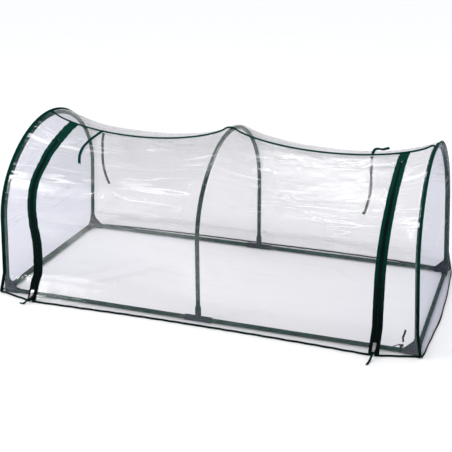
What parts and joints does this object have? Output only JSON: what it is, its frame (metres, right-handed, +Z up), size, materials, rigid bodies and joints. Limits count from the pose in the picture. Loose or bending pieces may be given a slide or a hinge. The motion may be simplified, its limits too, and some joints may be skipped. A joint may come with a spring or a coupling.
{
  "type": "mini greenhouse",
  "caption": "Low tunnel greenhouse: a push-fit tube frame with arched hoops under a clear zipped cover with a lifting front door.",
  "frame": {"origin": "on the ground under the middle of the tunnel", "axes": "+Z up, X along the tunnel between its two end hoops, -Y towards the zipped door"},
  "size_m": [1.8764, 1.0337, 0.7229],
  "materials": {
    "frame_tube": "dark green powder coat, semi-gloss",
    "connector": "moulded plastic, satin",
    "clear_film": "clear flexible film, glossy with soft wrinkles",
    "binding": "folded woven binding tape",
    "zip_tape": "woven zip tape",
    "zip_coil": "nylon coil",
    "zip_metal": "bright plated metal",
    "ribbon": "woven ribbon"
  },
  "bodies": {
    "frame": {"corner_connector_front_left": "connector", "corner_connector_front_right": "connector", "corner_connector_back_left": "connector", "corner_connector_back_right": "connector", "tee_connector_front": "connector", "tee_connector_back": "connector", "front_rail_left": "frame_tube", "front_rail_right": "frame_tube", "back_rail_left": "frame_tube", "back_rail_right": "frame_tube", "end_rail_left": "frame_tube", "end_rail_right": "frame_tube", "left_hoop_front_leg": "frame_tube", "left_hoop_arch": "frame_tube", "left_hoop_back_leg": "frame_tube", "middle_hoop_front_leg": "frame_tube", "middle_hoop_arch": "frame_tube", "middle_hoop_back_leg": "frame_tube", "right_hoop_front_leg": "frame_tube", "right_hoop_arch": "frame_tube", "right_hoop_back_leg": "frame_tube", "roof_and_back_panel": "clear_film", "front_strip_left": "clear_film", "front_strip_right": "clear_film", "end_panel_left": "clear_film", "end_panel_right": "clear_film", "end_binding_left": "binding", "end_binding_right": "binding", "top_seam_piping": "binding", "back_hem": "binding", "end_hem_left": "binding", "end_hem_right": "binding", "front_hem_left": "binding", "front_hem_right": "binding", "left_zip_cover_tape": "zip_tape", "left_zip_cover_coil": "zip_coil", "right_zip_cover_tape": "zip_tape", "right_zip_cover_coil": "zip_coil", "left_inner_tie": "ribbon", "right_outer_tie": "ribbon", "right_inner_tie": "ribbon", "corner_tie_loop": "ribbon", "corner_tie_tail_up": "ribbon", "corner_tie_tail_side": "ribbon"},
    "door": {"door_panel": "clear_film", "door_hem": "binding", "left_zip_door_tape": "zip_tape", "left_zip_door_coil": "zip_coil", "right_zip_door_tape": "zip_tape", "right_zip_door_coil": "zip_coil", "left_outer_tie": "ribbon"},
    "left_slider": {"left_zip_slider": "zip_metal"},
    "left_pull": {"left_zip_pull": "zip_metal", "left_pull_ribbon": "ribbon"},
    "right_slider": {"right_zip_slider": "zip_metal"},
    "right_pull": {"right_zip_pull": "zip_metal", "right_pull_ribbon": "ribbon"}
  },
  "joints": [
    {"name": "door_lift", "type": "hinge", "parent": "frame", "child": "door", "pos_m": [0, -0.004, 0.718], "axis": [-1, 0, 0], "range_deg": [0, 100]},
    {"name": "left_zip_slide", "type": "slide", "parent": "door", "child": "left_slider", "axis": [0, 0.1093, 0.994], "range_m": [0, 0.39]},
    {"name": "left_pull_swing", "type": "hinge", "parent": "left_slider", "child": "left_pull", "pos_m": [-0.745, -0.47393, 0.0417], "axis": [-1, 0, 0], "range_deg": [0, 110]},
    {"name": "right_zip_slide", "type": "slide", "parent": "door", "child": "right_slider", "axis": [0, 0.1093, 0.994], "range_m": [0, 0.39]},
    {"name": "right_pull_swing", "type": "hinge", "parent": "right_slider", "child": "right_pull", "pos_m": [0.745, -0.47393, 0.0417], "axis": [-1, 0, 0], "range_deg": [0, 110]}
  ]
}
